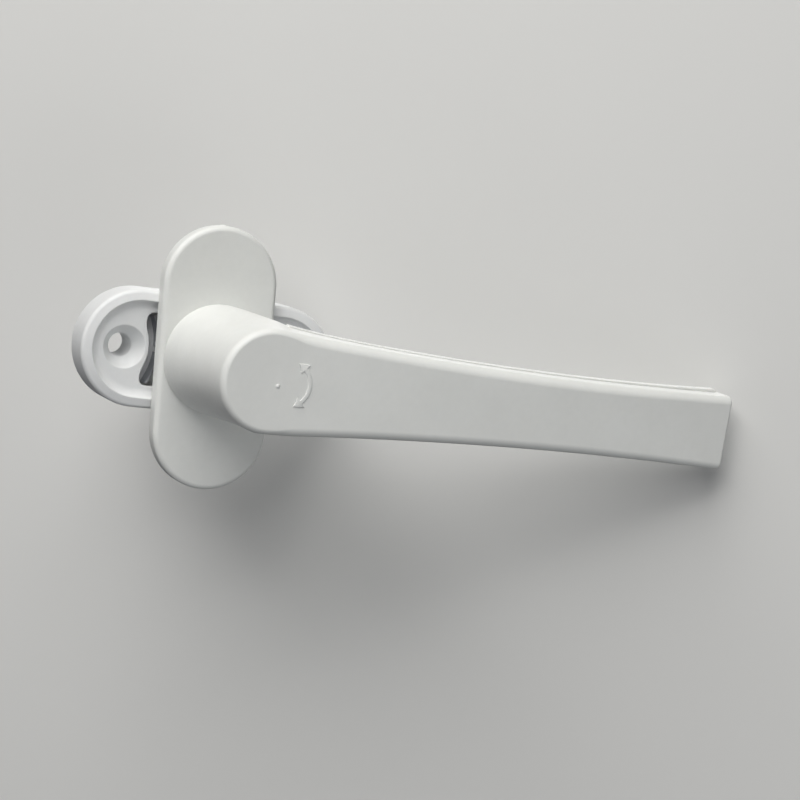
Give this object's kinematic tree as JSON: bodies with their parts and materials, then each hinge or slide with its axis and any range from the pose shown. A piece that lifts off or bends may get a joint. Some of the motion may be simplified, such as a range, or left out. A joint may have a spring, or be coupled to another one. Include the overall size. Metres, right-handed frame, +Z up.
{
  "type": "tilt and turn window handle",
  "caption": "Window handle with a straight tapering lever on a round neck, an oval cover plate that swivels over the fixing screws, an oval base plate and a square spindle.",
  "frame": {"origin": "centre of the base plate's mounting face, on the spindle axis, midway between the two fixing screws", "axes": "as installed: +Z up along the line of the two screws, -Y out of the window into the room along the spindle axis, +X to the right seen from the room; the lever hangs down, which is its closed position"},
  "size_m": [0.0644, 0.0882, 0.1524],
  "materials": {
    "white_plastic": "satin white injection moulding",
    "acetal": "natural acetal, as moulded",
    "zinc": "die cast zinc, tumbled",
    "bright_steel": "bright zinc plated, drawn",
    "spring_steel": "blued spring steel"
  },
  "bodies": {
    "base": {"base_plate": "white_plastic", "detent_spring_upper": "spring_steel", "detent_spring_lower": "spring_steel"},
    "cover": {"cover_plate": "white_plastic", "cover_friction_washer": "acetal"},
    "handle": {"handle_body": "white_plastic", "lever_back_strip": "white_plastic", "drive_sleeve": "zinc", "square_spindle": "bright_steel", "spindle_roll_pin": "spring_steel", "detent_disc": "acetal", "back_washer": "bright_steel", "retaining_ring": "spring_steel"}
  },
  "joints": [
    {"name": "handle_turn", "type": "hinge", "parent": "base", "child": "handle", "pos_m": [0, 0, 0], "axis": [0, -1, 0], "range_deg": [0, 180], "deforming": ["detent_spring_upper", "detent_spring_lower"]},
    {"name": "cover_swivel", "type": "hinge", "parent": "base", "child": "cover", "pos_m": [0, -0.012, 0], "axis": [0, -1, 0], "range_deg": [-93.9, 86.1]}
  ]
}
